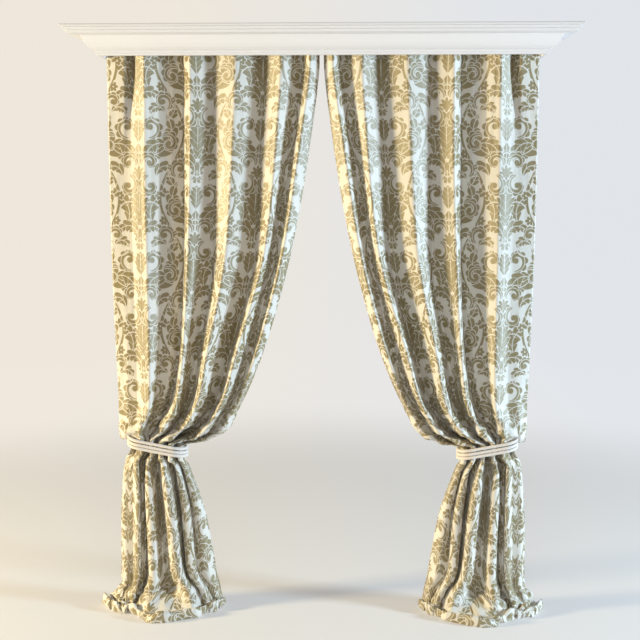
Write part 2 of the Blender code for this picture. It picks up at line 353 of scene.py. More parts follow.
@dataclass(frozen=True)
class DamaskDesign:
    """A traditional scroll and leaf figure.

    The figure is a tree of leaves, scrolls and flowers on a mirror line that runs down the cloth. It
    fills the space up to a stem that sways with the repeat, and beyond the stem stands the same tree,
    half a repeat higher, on the next mirror line.

    Attributes:
        scale: size of the whole layout on the cloth, for every length below.
        half_width: distance between mirror lines.
        repeat: length of the repeat.
        first_line: first mirror line, from the cloth's outer edge.
        widest: where the tree's space is widest, from the repeat's start.
        sway: how far the stem sways to either side.
        stem: half width of the stem.
        spread: how far each motif's outline is pushed out to fill the cloth.
        gap: width of the light line left round each motif.
        edge: width over which a motif's edge fades.
        lean: how far back along the spine a leaf's lobes are read, for each metre aside.
        past_tip: how far a leaf's body sinks past its ends, in gaps.
        rib: half width of a light rib.
        rib_reach: share of a leaf's half width at which its ribs end.
        vein: half width of a leaf's middle vein.
        rim: half width of the light line along a scroll's rim.
        frill: height of a scroll's frill, in half widths of its stroke.
        bulb: radius of a scroll's bulb, in half widths of its stroke.
        motifs: the motifs of the tree, each laid over those before it.
    """

    scale: float = 1.18
    half_width: float = 0.280
    repeat: float = 0.520
    first_line: float = 0.130
    widest: float = 0.150
    sway: float = 0.050
    stem: float = 0.0056
    spread: float = 0.0019
    gap: float = 0.0037
    edge: float = 0.0022
    lean: float = 0.9
    past_tip: float = 1.6
    rib: float = 0.0012
    rib_reach: float = 0.62
    vein: float = 0.0016
    rim: float = 0.0013
    frill: float = 1.1
    bulb: float = 0.85
    motifs: tuple[Union[Leaf, Scroll, Flower], ...] = (
        Leaf(-1.0, 0.245, 1.000, 3.2, -6.2, 0.026, 5),
        Leaf(0.070, 0.262, 0.088, 300, 58, 0.017, 4),
        Leaf(0.122, 0.350, 0.074, 212, -140, 0.030, 5),
        Leaf(0.048, 0.352, 0.044, 310, -190, 0.023, 4),
        Leaf(-1.0, 0.402, 1.000, -5.8, 11.8, 0.038, 7),
        Leaf(0.054, 0.258, 0.044, 200, -200, 0.024, 5),
        Leaf(-1.0, 0.150, 1.000, -2.6, 5.8, 0.030, 5),
        Scroll(0.052, 0.166, 0.043, 262, 0.85, 0.0115, 9),
        Leaf(-1.0, 0.068, 1.000, 2.2, -5.2, 0.027, 3),
        Leaf(0.155, 0.200, 0.036, 230, 170, 0.018, 4),
        Leaf(0.045, 0.150, 0.094, 262, 150, 0.032, 6),
        Leaf(0.086, 0.214, 0.030, 20, 170, 0.018, 4),
        Leaf(0.092, 0.046, 0.058, 60, 150, 0.026, 5),
        Scroll(0.126, 0.104, 0.037, 130, -0.85, 0.0100, 8),
        Scroll(0.108, 0.264, 0.034, 300, 0.85, 0.0100, 8),
        Scroll(0.046, 0.028, 0.035, 200, -0.85, 0.0098, 7),
        Flower(0.000, 0.508, 0.028, 8, 0.55, 0.000),
        Scroll(0.050, 0.460, 0.040, 100, 0.85, 0.0110, 8),
        Flower(0.088, 0.420, 0.017, 6, 0.45, 0.004),
        Leaf(0.112, 0.500, 0.036, 190, -160, 0.020, 3),
        Flower(0.106, 0.322, 0.017, 6, 0.45, 0.003),
    )

    def polar(self, across: Field, up: Field, motif: Union[Leaf, Scroll, Flower]) -> tuple[Field, Field]:
        """Distance and angle of each point from a motif's middle, in the nearest repeat.

        Args:
            across: distance from the mirror line.
            up: distance up the repeat.
            motif: the motif.

        Returns:
            The distance, sqrt(x^2 + y^2), and the angle, in radians.
        """
        right = across - motif.across
        rise = (up - motif.up).math("WRAP", self.repeat / 2, -self.repeat / 2)
        distance = (right * right + rise * rise).math("SQRT")
        return distance, rise.math("ARCTAN2", right)

    def leaf(self, across: Field, up: Field, leaf: Leaf) -> tuple[Field, Field]:
        """Distance inside a leaf's outline, and distance from its light veins.

        The body's half width at a share q of the spine is width * sin(pi * q^0.65), and lobes scale it
        by 0.55 + 0.45 * |sin(pi * lobes * q)|. A point beside the spine reads q nearer the root, so
        that the lobes lean to the tip.

        Args:
            across: distance from the mirror line.
            up: distance up the repeat.
            leaf: the leaf.

        Returns:
            Both distances, positive on the figure.
        """
        distance, angle = self.polar(across, up, leaf)
        hand = math.copysign(1, leaf.sweep)
        sweep = math.radians(abs(leaf.sweep))
        middle = math.radians(leaf.start + leaf.sweep / 2)
        turn = angle.line(hand, -hand * middle).math("WRAP", math.pi, -math.pi)
        aside = (distance - leaf.radius).size()
        lean = self.lean / (leaf.radius * sweep)
        share = (turn.line(1 / sweep, 0.5) - aside * lean).ramp(1.0, 0.0)
        outside = self.past_tip * self.gap
        body = ((share**0.65) * math.pi).math("SINE").line(leaf.width + outside, -outside)
        if not leaf.lobes:
            return body - aside, aside + 1.0
        wave = (share * (math.pi * leaf.lobes)).math("SINE").size()
        inside = body * wave.line(0.45, 0.55) - aside
        ribs = (wave * body).line(0.5, -self.rib).larger(aside - body * self.rib_reach)
        return inside, ribs.smaller(aside - self.vein)

    def scroll(self, across: Field, up: Field, scroll: Scroll) -> tuple[Field, Field]:
        """Distance inside a scroll's outline, and distance from its light lines.

        After m turns the stroke's middle lies at radius - pitch * m, so a point's distance from it is
        found from the nearest whole turn. On its outer side a frill of lobes stands,
        frill * width * |sin(pi * lobes * m)|^0.7 high, that fades along the stroke.

        Args:
            across: distance from the mirror line.
            up: distance up the repeat.
            scroll: the scroll.

        Returns:
            Both distances, positive on the figure.
        """
        distance, angle = self.polar(across, up, scroll)
        hand = math.copysign(1, scroll.turns)
        turns = abs(scroll.turns)
        pitch = (scroll.radius - scroll.width) / turns
        made = angle.line(hand / TURN, -hand * math.radians(scroll.start) / TURN).math("WRAP", 1.0, 0.0)
        inward = distance.line(-1 / pitch, scroll.radius / pitch) - made
        whole = inward.math("ROUND").larger(0.0)
        outside = (whole - inward) * pitch
        made = made + whole
        body = made.ramp(1.6, 0.1) * made.ramp(-0.62 / turns, 1.0) * scroll.width
        wave = (made * (math.pi * scroll.lobes)).math("SINE").size()
        frill = (wave**0.7) * (self.frill * scroll.width)
        frill = frill * made.ramp(-1.6, 1.45) * made.ramp(8.0, 0.0)
        inside = (frill + body - outside).smaller(body + outside)
        ribs = wave.line(0.020, -self.rib).larger(body - outside)
        lines = ((outside - body * 1.02).size() - self.rim).smaller(ribs)
        lines = lines.larger(distance.line(-1.0, scroll.width * 1.3))
        stroke = inside.smaller(made * 0.05).smaller(made.line(-0.05, 0.05 * turns))
        bulb = distance.line(-1.0, scroll.width * self.bulb)
        return stroke.larger(bulb), lines

    def flower(self, across: Field, up: Field, flower: Flower) -> tuple[Field, Field]:
        """Distance inside a flower's outline, and distance from its eye.

        The outline lies at radius * (1 - notch + notch * |cos(petals * angle / 2)|).

        Args:
            across: distance from the mirror line.
            up: distance up the repeat.
            flower: the flower.

        Returns:
            Both distances, positive on the figure.
        """
        distance, angle = self.polar(across, up, flower)
        petal = (angle * (flower.petals / 2)).math("COSINE").size()
        reach = petal.line(flower.radius * flower.notch, flower.radius * (1 - flower.notch))
        return reach - distance, distance - flower.eye

    def motif(self, across: Field, up: Field, motif: Union[Leaf, Scroll, Flower]) -> tuple[Field, Field]:
        """Distance inside a motif's outline, and distance from its light lines.

        Args:
            across: distance from the mirror line.
            up: distance up the repeat.
            motif: any motif.

        Returns:
            Both distances, positive on the figure.
        """
        if isinstance(motif, Leaf):
            return self.leaf(across, up, motif)
        if isinstance(motif, Scroll):
            return self.scroll(across, up, motif)
        return self.flower(across, up, motif)

    def figure(self, across: Field, down: Field) -> Field:
        """Mask of the whole figure.

        The stem lies at half_width / 2 + sway * cos(2 pi * (up - widest) / repeat) from the mirror
        line. Each motif in turn clears a light line round itself and is then laid on.

        Args:
            across: distance from the cloth's outer edge.
            down: distance from its head.

        Returns:
            1 on the figure and 0 on the ground.
        """
        across = across.line(1 / self.scale, -self.first_line).math("PINGPONG", self.half_width)
        up = down * (-1 / self.scale)
        wave = up.line(TURN / self.repeat, -TURN * self.widest / self.repeat).math("COSINE")
        beyond = across - wave.line(self.sway, self.half_width / 2)
        next_tree = beyond.math("GREATER_THAN", 0.0)
        across = across * next_tree.line(-2.0, 1.0) + next_tree * self.half_width
        up = up + next_tree * (self.repeat / 2)
        sharp = 1 / self.edge
        whole = beyond.size().ramp(-sharp, sharp * self.stem + 0.5)
        for motif in self.motifs:
            inside, lines = self.motif(across, up, motif)
            inside = inside + self.spread
            mask = inside.smaller(lines).ramp(sharp, 0.5)
            clear = inside.ramp(-sharp, 0.5 - sharp * self.gap)
            whole = whole.smaller(clear).larger(mask)
        return whole


# Finishes


def new_material(name: str) -> tuple[bpy.types.Material, bpy.types.NodeTree, bpy.types.Node]:
    """Make an empty material.

    Args:
        name: name of the material.

    Returns:
        The material, its tree and its main shader.
    """
    material = bpy.data.materials.new(name)
    material.use_nodes = True
    tree = material.node_tree
    return material, tree, tree.nodes["Principled BSDF"]


def blend_colours(tree: bpy.types.NodeTree, share: Number, first: Union[Colour, bpy.types.NodeSocket],
                  second: Union[Colour, bpy.types.NodeSocket], kind: str = "MIX") -> bpy.types.NodeSocket:
    """Blend two colours.

    Args:
        tree: the material's tree.
        share: 0 for the first colour and 1 for the second.
        first: colour or socket.
        second: colour or socket.
        kind: how to blend.

    Returns:
        The blend's socket.
    """
    node = tree.nodes.new("ShaderNodeMix")
    node.data_type = "RGBA"
    node.blend_type = kind
    if isinstance(share, Field):
        tree.links.new(share.socket, node.inputs["Factor"])
    else:
        node.inputs["Factor"].default_value = share
    for socket, value in ((node.inputs[6], first), (node.inputs[7], second)):
        if isinstance(value, bpy.types.NodeSocket):
            tree.links.new(value, socket)
        else:
            socket.default_value = (*value, 1.0)
    return node.outputs[2]


def noise_field(tree: bpy.types.NodeTree, place_on: bpy.types.NodeSocket, scale: float,
                stretch: tuple[float, float, float] = (1, 1, 1), detail: float = 2.0) -> Field:
    """Smooth noise over a coordinate.

    Args:
        tree: the material's tree.
        place_on: the coordinate.
        scale: hills to a metre.
        stretch: times that along each axis.
        detail: octaves of finer noise.

    Returns:
        Noise from 0 to 1.
    """
    mapping = tree.nodes.new("ShaderNodeMapping")
    mapping.inputs["Scale"].default_value = stretch
    tree.links.new(place_on, mapping.inputs["Vector"])
    noise = tree.nodes.new("ShaderNodeTexNoise")
    noise.inputs["Scale"].default_value = scale
    noise.inputs["Detail"].default_value = detail
    tree.links.new(mapping.outputs["Vector"], noise.inputs["Vector"])
    return Field(tree, noise.outputs["Fac"])


def add_bump(tree: bpy.types.NodeTree, shader: bpy.types.Node, height: Field, distance: float,
             strength: float = 1.0) -> None:
    """Raise the surface by the height times the distance, in the shading alone.

    Args:
        tree: the material's tree.
        shader: its main shader.
        height: the relief.
        distance: metres for a height of 1.
        strength: share of the relief that shows.
    """
    bump = tree.nodes.new("ShaderNodeBump")
    bump.inputs["Distance"].default_value = distance
    bump.inputs["Strength"].default_value = strength
    tree.links.new(height.socket, bump.inputs["Height"])
    tree.links.new(bump.outputs["Normal"], shader.inputs["Normal"])


@dataclass(frozen=True)
class DamaskFinish:
    """Two-tone damask: satin ivory ground, duller taupe figure.

    Attributes:
        ground: colour of the ground.
        figure: colour of the figure.
        thread: distance between ribs of the weave.
        rough: roughness of the ground.
        shine: how much less rough the figure is.
        specular: strength of its plain reflection.
        sheen: strength of the soft light at its edges.
        sheen_rough: roughness of that light.
        relief: height of the weave.
        relief_share: share of that height that shows.
        design: layout of the figure.
    """

    ground: Colour = (0.688, 0.655, 0.582)
    figure: Colour = (0.262, 0.209, 0.096)
    thread: float = 0.0014
    rough: float = 0.58
    shine: float = 0.22
    specular: float = 0.8
    sheen: float = 0.25
    sheen_rough: float = 0.45
    relief: float = 0.00025
    relief_share: float = 0.6
    design: DamaskDesign = DamaskDesign()

    def build(self, name: str) -> bpy.types.Material:
        """Make the material, on the cloth's own UV map.

        Args:
            name: name of the material.

        Returns:
            The material.
        """
        material, tree, shader = new_material(name)
        uv = tree.nodes.new("ShaderNodeUVMap")
        uv.uv_map = "cloth"
        split = tree.nodes.new("ShaderNodeSeparateXYZ")
        tree.links.new(uv.outputs["UV"], split.inputs[0])
        across, down = Field(tree, split.outputs[0]), Field(tree, split.outputs[1])
        figure = self.design.figure(across, down)
        slub = noise_field(tree, uv.outputs["UV"], 60.0, (1.0, 9.0, 1.0))
        uneven = noise_field(tree, uv.outputs["UV"], 7.0)
        tone = blend_colours(tree, figure, self.ground, self.figure)
        shade = (slub * 0.16 + uneven * 0.10) + 0.87
        grey = tree.nodes.new("ShaderNodeCombineColor")
        for slot in range(3):
            tree.links.new(shade.socket, grey.inputs[slot])
        colour = blend_colours(tree, 1.0, tone, grey.outputs[0], "MULTIPLY")
        tree.links.new(colour, shader.inputs["Base Color"])
        rough = figure * -self.shine + self.rough
        tree.links.new(rough.socket, shader.inputs["Roughness"])
        shader.inputs["Sheen Weight"].default_value = self.sheen
        shader.inputs["Sheen Roughness"].default_value = self.sheen_rough
        shader.inputs["Specular IOR Level"].default_value = self.specular
        weave = (across * (TURN / self.thread)).math("SINE") * (down * (TURN / self.thread)).math("SINE")
        add_bump(tree, shader, weave * 0.5 + slub, self.relief, self.relief_share)
        return material


@dataclass(frozen=True)
class CordFinish:
    """Soft pale cord.

    Attributes:
        colour: colour of its fibres.
        dark: share of that colour left between them.
        rough: its roughness.
        sheen: strength of the soft light at its edges.
        relief: height of the fibres.
        relief_share: share of that height that shows.
    """

    colour: Colour = (0.78, 0.715, 0.65)
    dark: float = 0.86
    rough: float = 0.62
    sheen: float = 0.3
    relief: float = 0.0004
    relief_share: float = 0.5

    def build(self, name: str) -> bpy.types.Material:
        """Make the material, on object coordinates.

        Args:
            name: name of the material.

        Returns:
            The material.
        """
        material, tree, shader = new_material(name)
        coordinate = tree.nodes.new("ShaderNodeTexCoord")
        fibre = noise_field(tree, coordinate.outputs["Object"], 420.0)
        uneven = noise_field(tree, coordinate.outputs["Object"], 25.0)
        dark = tuple(self.dark * part for part in self.colour)
        colour = blend_colours(tree, fibre * 0.6 + uneven * 0.4, dark, self.colour)
        tree.links.new(colour, shader.inputs["Base Color"])
        shader.inputs["Roughness"].default_value = self.rough
        shader.inputs["Sheen Weight"].default_value = self.sheen
        add_bump(tree, shader, fibre, self.relief, self.relief_share)
        return material


@dataclass(frozen=True)
class PaintFinish:
    """Smooth satin paint, laid on with a brush.

    Attributes:
        colour: colour of the paint.
        dark: share of that colour where it is darkest.
        rough: its least roughness.
        uneven: how much rougher it gets.
        relief: height of the brush marks.
        relief_share: share of that height that shows.
    """

    colour: Colour = (0.79, 0.777, 0.79)
    dark: float = 0.975
    rough: float = 0.36
    uneven: float = 0.06
    relief: float = 0.0001
    relief_share: float = 0.1

    def build(self, name: str) -> bpy.types.Material:
        """Make the material, on object coordinates.

        Args:
            name: name of the material.

        Returns:
            The material.
        """
        material, tree, shader = new_material(name)
        coordinate = tree.nodes.new("ShaderNodeTexCoord")
        brushed = noise_field(tree, coordinate.outputs["Object"], 30.0, (0.6, 6.0, 6.0))
        uneven = noise_field(tree, coordinate.outputs["Object"], 3.0)
        dark = tuple(self.dark * part for part in self.colour)
        colour = blend_colours(tree, uneven * 0.8 + brushed * 0.2, dark, self.colour)
        tree.links.new(colour, shader.inputs["Base Color"])
        rough = brushed * self.uneven + self.rough
        tree.links.new(rough.socket, shader.inputs["Roughness"])
        add_bump(tree, shader, brushed, self.relief, self.relief_share)
        return material


# Curtains


@dataclass(frozen=True)
class Level:
    """A height at which the folds are laid out.

    Attributes:
        name: its name, which is also its column in the folds.
        outer_high: height at the outer edge.
        inner_high: height at the inner edge.
        arch: how far the row rises in its middle.
        back: depth of the back of the folds.
        depth: from there to their front.
        rows: rows of cloth down to the next level.
    """

    name: str
    outer_high: float
    inner_high: float
    arch: float
    back: float
    depth: float
    rows: int


@dataclass(frozen=True)
class Fold:
    """A crest or valley of the cloth, from its head to the floor.

    Attributes:
        name: its name.
        top: how far out it lies at the head and the top level. The next fields, to floor, give the
            same at the level of their name, and tie at both edges of the cords.
        front_up: how far forward it lies at its top, 0 for the back of the folds and 1 for their
            front. The next fields, to front_floor, give the same lower down.
        pinch: share of the loop's half depth that it takes between the cords.
    """

    name: str
    top: float
    chest: float
    middle: float
    low: float
    swag: float
    gather: float
    lobe: float
    tie: float
    neck: float
    skirt: float
    shin: float
    floor: float
    front_up: float
    front_middle: float
    front_down: float
    front_floor: float
    pinch: float = 1.0


@dataclass(frozen=True)
class Lobe:
    """The puddle in one direction from its middle.

    Attributes:
        turn: the direction, in degrees from straight outwards.
        foot: reach of the folds that stand on it.
        reach: reach of the hem.
        crown: height of its swell.
    """

    turn: float
    foot: float
    reach: float
    crown: float


@dataclass(frozen=True)
class Ring:
    """A row of the puddle.

    Attributes:
        spread: share of the way from the folds to the hem.
        fold: share of the folds' depth that is left.
        high: share of the crown's height.
    """

    spread: float
    fold: float
    high: float


LEVELS = (
    Level("head", 2.7317, 2.7317, 0.000, 0.092, 0.052, 4),
    Level("top", 2.600, 2.600, 0.000, 0.090, 0.056, 12),
    Level("chest", 2.185, 2.185, 0.000, 0.088, 0.060, 14),
    Level("middle", 1.750, 1.750, 0.000, 0.085, 0.070, 18),
    Level("low", 1.280, 1.280, 0.000, 0.080, 0.084, 14),
    Level("swag", 1.040, 1.040, 0.000, 0.072, 0.102, 14),
    Level("gather", 0.912, 0.890, 0.008, 0.068, 0.112, 12),
    Level("lobe", 0.872, 0.828, 0.012, 0.067, 0.114, 12),
    Level("tie_top", 0.8580, 0.8120, 0.000, 0.070, 0.110, 6),
    Level("tie_foot", 0.7990, 0.7500, 0.000, 0.070, 0.110, 10),
    Level("neck", 0.730, 0.705, 0.000, 0.075, 0.104, 14),
    Level("skirt", 0.490, 0.490, 0.000, 0.086, 0.090, 18),
    Level("shin", 0.190, 0.190, 0.000, 0.080, 0.094, 8),
    Level("floor", 0.105, 0.105, 0.000, 0.045, 0.133, 1),
)

FOLDS = (
    Fold("outer_edge", 0.986, 0.989, 0.988, 0.980, 0.974, 0.974, 0.968, 0.914,
         0.949, 0.972, 0.981, 0.990, 0.45, 0.30, 0.20, 0.12, 0.0),
    Fold("crest_0", 0.904, 0.914, 0.919, 0.919, 0.920, 0.932, 0.933, 0.894,
         0.927, 0.946, 0.945, 0.955, 0.70, 0.42, 0.46, 0.50, 0.86),
    Fold("valley_0", 0.876, 0.886, 0.887, 0.879, 0.880, 0.898, 0.904, 0.873,
         0.905, 0.911, 0.918, 0.930, 0.12, 0.48, 0.52, 0.44, 0.86),
    Fold("crest_1", 0.809, 0.813, 0.814, 0.812, 0.816, 0.841, 0.860, 0.851,
         0.880, 0.878, 0.884, 0.898, 1.02, 0.95, 0.80, 0.85),
    Fold("ledge_1", 0.748, 0.752, 0.758, 0.765, 0.785, 0.822, 0.843, 0.8435,
         0.871, 0.868, 0.874, 0.889, 0.46, 0.50, 0.30, 0.60, 0.35),
    Fold("shelf_1", 0.688, 0.694, 0.700, 0.716, 0.752, 0.804, 0.829, 0.8355,
         0.862, 0.858, 0.864, 0.880, 0.36, 0.40, 0.16, 0.50, 0.35),
    Fold("valley_1", 0.640, 0.646, 0.654, 0.682, 0.728, 0.790, 0.817, 0.829,
         0.855, 0.850, 0.855, 0.872, 0.00, 0.00, -0.05, 0.25),
    Fold("crest_2", 0.600, 0.606, 0.621, 0.652, 0.682, 0.745, 0.786, 0.807,
         0.828, 0.820, 0.812, 0.828, 0.95, 0.92, 0.90, 1.00),
    Fold("valley_2", 0.505, 0.510, 0.516, 0.590, 0.636, 0.705, 0.757, 0.786,
         0.797, 0.782, 0.765, 0.742, 0.15, 0.10, 0.00, 0.55),
    Fold("crest_3", 0.393, 0.411, 0.443, 0.534, 0.581, 0.655, 0.720, 0.763,
         0.750, 0.722, 0.690, 0.640, 1.00, 1.00, 1.00, 1.00),
    Fold("valley_3", 0.268, 0.294, 0.319, 0.433, 0.499, 0.600, 0.683, 0.740,
         0.706, 0.680, 0.655, 0.602, 0.00, 0.00, -0.25, 0.25),
    Fold("crest_4", 0.184, 0.213, 0.264, 0.396, 0.466, 0.560, 0.652, 0.718,
         0.694, 0.652, 0.628, 0.578, 0.95, 1.00, 0.80, 0.80),
    Fold("valley_4", 0.096, 0.152, 0.220, 0.337, 0.426, 0.525, 0.628, 0.697,
         0.675, 0.628, 0.600, 0.556, 0.10, 0.10, 0.10, 0.45, 0.86),
    Fold("crest_5", 0.052, 0.108, 0.178, 0.302, 0.393, 0.490, 0.602, 0.676,
         0.657, 0.600, 0.563, 0.530, 0.90, 0.95, 0.50, 0.52, 0.86),
    Fold("inner_edge", 0.010, 0.061, 0.140, 0.271, 0.370, 0.458, 0.577, 0.655,
         0.640, 0.567, 0.515, 0.502, 0.35, 0.45, 0.05, 0.12, 0.0),
)
FRONT_HEIGHTS = (0.10, 0.55, 2.30, 2.62)

LOBES = (
    Lobe(3, 0.212, 0.290, 0.038),
    Lobe(12, 0.208, 0.302, 0.056),
    Lobe(22, 0.203, 0.284, 0.044),
    Lobe(34, 0.196, 0.284, 0.056),
    Lobe(46, 0.187, 0.252, 0.040),
    Lobe(57, 0.177, 0.240, 0.050),
    Lobe(68, 0.170, 0.240, 0.034),
    Lobe(80, 0.166, 0.284, 0.046),
    Lobe(91, 0.168, 0.304, 0.048),
    Lobe(103, 0.176, 0.312, 0.050),
    Lobe(115, 0.190, 0.306, 0.050),
    Lobe(128, 0.208, 0.300, 0.050),
    Lobe(140, 0.228, 0.280, 0.038),
    Lobe(152, 0.248, 0.306, 0.052),
    Lobe(164, 0.266, 0.300, 0.042),
    Lobe(177, 0.280, 0.314, 0.034),
)

RINGS = (
    Ring(0.36, 0.62, 1.26),
    Ring(0.66, 0.36, 0.50),
    Ring(0.80, 0.28, 0.62),
    Ring(0.93, 0.20, 0.98),
    Ring(1.01, 0.15, 0.50),
    Ring(0.99, 0.14, 0.00),
)


@dataclass
class Gather:
    """The stadium-shaped loop that the cords draw the cloth into.

    Attributes:
        out: middle of the loop.
        deep: middle of the loop.
        high: height of its middle.
        slope: rise for each metre outwards.
        half_width: from its middle to its end.
        half_depth: from its middle to its front.
    """

    out: float = 0.7845
    deep: float = 0.125
    high: float = 0.812
    slope: float = 0.19
    half_width: float = 0.130
    half_depth: float = 0.055

    def depth_at(self, out: Array) -> Array:
        """Half depth at a distance out: straight in the middle, round at the ends."""
        past = np.abs(out - self.out) - (self.half_width - self.half_depth)
        return np.sqrt(np.clip(self.half_depth**2 - np.clip(past, 0, None)**2, 0, None))


@dataclass
class CurtainPanel:
    """One width of damask, from its head under the cornice board to its hem on the floor.

    Attributes:
        side: which curtain.
        gather: the loop that the ties draw it into.
        flat_width: width of the cloth.
        flat_length: length of the cloth. Not used.
        thickness: thickness of the cloth.
        crest_radius: radius of a crest's bend above the cords.
        skirt_radius: radius of a crest's bend in the skirt.
        valley_radius: radius of a valley's bend.
        steps: points from a fold line to the next.
        puddle_rows: rows of cloth on the floor.
        puddle_out: middle of the puddle, out.
        puddle_deep: middle of the puddle, into the room.
        hem_high: lowest height of the cloth's middle layer.
        droop_high: height at which the edges sag most over the cords.
        droop_reach: how far up and down from there the sag fades.
        outer_droop: sag of the outer edge.
        inner_droop: sag of the inner edge.
        pouch_high: height at which the cloth swells most over the cords.
        pouch_reach: how far up and down from there the swell fades.
        pouch_swell: the swell.
        ripple: height of the creases along the folds.
        pucker: height of the creases that the cords pull in.
        rumple: height of the creases on the floor.
        cords_high: height of the cloth's neck, which parts the puckers above it from those below.
        bend_heights: above the first the crests bend tightly, and below the second as in the skirt.
        shoulder: where, out, the outer sag starts and has its first part.
        rim: where, out, its second part starts and is whole.
        shoulder_share: the first part's share of the outer sag.
        rim_share: the second part's share.
        inner_sag_out: where, out, the inner sag is whole.
        pouch_inner: where, out, the swell starts and is whole.
        pouch_outer: where, out, the swell ends again and is still whole.
        pucker_above: height up to which the upper puckers are whole, and how far above it they fade.
        pucker_below: height down to which the lower ones are whole, and how far below it they fade.
        rumple_heights: heights at which the floor's creases start and are whole.
        rumple_outs: where, out, those creases start to grow and are whole.
        cords_clear: distances from the cords' middle at which the puckers start and are whole.
    """

    side: Side
    gather: Gather
    flat_width: float = 1.13
    flat_length: float = 2.93
    thickness: float = 0.0012
    crest_radius: float = 0.009
    skirt_radius: float = 0.024
    valley_radius: float = 0.005
    steps: int = 14
    puddle_rows: int = 40
    puddle_out: float = 0.780
    puddle_deep: float = 0.020
    hem_high: float = 0.0016
    droop_high: float = 0.880
    droop_reach: float = 0.045
    outer_droop: float = 0.034
    inner_droop: float = 0.014
    pouch_high: float = 0.900
    pouch_reach: float = 0.030
    pouch_swell: float = 0.030
    ripple: float = 0.0009
    pucker: float = 0.0085
    rumple: float = 0.0105
    cords_high: float = 0.80
    bend_heights: tuple[float, float] = (0.76, 0.55)
    shoulder: tuple[float, float] = (0.835, 0.900)
    rim: tuple[float, float] = (0.905, 0.955)
    shoulder_share: float = 0.45
    rim_share: float = 0.55
    inner_sag_out: float = 0.575
    pouch_inner: tuple[float, float] = (0.825, 0.870)
    pouch_outer: tuple[float, float] = (0.985, 0.950)
    pucker_above: tuple[float, float] = (0.900, 0.10)
    pucker_below: tuple[float, float] = (0.740, 0.07)
    rumple_heights: tuple[float, float] = (0.20, 0.04)
    rumple_outs: tuple[float, float] = (0.70, 0.80)
    cords_clear: tuple[float, float] = (0.024, 0.050)

    def fold_lines(self) -> tuple[Array, Array]:
        """Lay out the fold lines.

        Returns:
            Out and depth, levels by fold lines.
        """
        outs, deeps = [], []
        for level in LEVELS:
            column = {"head": "top", "tie_top": "tie", "tie_foot": "tie"}.get(level.name, level.name)
            out = np.array([getattr(fold, column) for fold in FOLDS])
            high = (level.outer_high + level.inner_high) / 2
            front = np.array([np.interp(high, FRONT_HEIGHTS, (fold.front_floor, fold.front_down,
                                                              fold.front_middle, fold.front_up))
                              for fold in FOLDS])
            deep = level.back + level.depth * front
            if column == "tie":
                pinch = np.array([fold.pinch for fold in FOLDS]) * np.sign(front - 0.5)
                deep = self.gather.deep + pinch * self.gather.depth_at(out)
            outs.append(out)
            deeps.append(deep)
        return np.array(outs), np.array(deeps)

    def flanks(self, out: Array, deep: Array, round_off: Array) -> tuple[Array, Array]:
        """Points of each row from fold line to fold line.

        A flank leaves both its lines parallel to the wall on an arc, and is straight between. With w
        its width, h its depth and s the sum of the arcs' radii, the straight part stands at the angle
        t with (h - s) cos t - w sin t + s = 0, and s is never more than lets the arcs just meet.

        Args:
            out: rows by fold lines.
            deep: rows by fold lines.
            round_off: radius of the crests in each row.

        Returns:
            Out and depth, rows by points.
        """
        width = np.abs(np.diff(out, axis=1))[..., None]
        depth = np.abs(np.diff(deep, axis=1))[..., None]
        toward = np.sign(np.diff(deep, axis=1))[..., None]
        crest = round_off[:, None, None] + 0 * width
        first = np.where(toward > 0, self.valley_radius, crest)
        last = np.where(toward > 0, crest, self.valley_radius)
        meeting = np.clip(2 * np.arctan2(depth, width), 1e-3, math.pi / 2)
        both = np.minimum(width / np.sin(meeting), first + last)
        first, last = both * first / (first + last), both * last / (first + last)
        reach = np.hypot(depth - both, width)
        turn = np.arctan2(depth - both, width) + np.arcsin(np.clip(both / reach, -1, 1))
        turn = np.clip(np.where(depth < 1e-5, 1e-3, turn), 1e-3, math.pi / 2)
        run = np.hypot(width - both * np.sin(turn), depth - both * (1 - np.cos(turn)))
        length = both * turn + run
        along = np.arange(self.steps) / self.steps * length
        from_end = along > first * turn + run / 2
        along = np.where(from_end, length - along, along)
        radius = np.where(from_end, last, first)
        angle = np.minimum(along / radius, turn)
        straight = np.clip(along - radius * turn, 0, None)
        across = radius * np.sin(angle) + straight * np.cos(turn)
        into = radius * (1 - np.cos(angle)) + straight * np.sin(turn)
        across = np.where(from_end, width - across, across)
        into = np.where(from_end, depth - into, into)
        rows = len(out)
        outs = (out[:, :-1, None] - across).reshape(rows, -1)
        deeps = (deep[:, :-1, None] + toward * into).reshape(rows, -1)
        return np.hstack([outs, out[:, -1:]]), np.hstack([deeps, deep[:, -1:]])

    def hanging(self) -> tuple[Array, Array, Array]:
        """Shape of the cloth from its head to the foot of the folds.

        With s the share of the way from the inner to the outer edge, a row's height is
        inner + (outer - inner) * s + 4 * arch * s * (1 - s).

        Returns:
            Out, depth and height, rows by points.
        """
        knots = np.arange(len(LEVELS))
        stops = [np.arange(level.rows) / level.rows + k for k, level in enumerate(LEVELS[:-1])]
        at = np.concatenate(stops + [knots[-1:]])
        outs, deeps = self.fold_lines()
        ends = np.array([(level.outer_high, level.inner_high, level.arch) for level in LEVELS])
        outer, inner, arch = smooth_curve(knots, ends, at).T[..., None]
        low = smooth_step(*self.bend_heights, outer[:, 0])
        round_off = self.crest_radius + (self.skirt_radius - self.crest_radius) * low
        out, deep = self.flanks(smooth_curve(knots, outs, at), smooth_curve(knots, deeps, at), round_off)
        share = (out - out[:, -1:]) / (out[:, :1] - out[:, -1:])
        return out, deep, inner + (outer - inner) * share + 4 * arch * share * (1 - share)

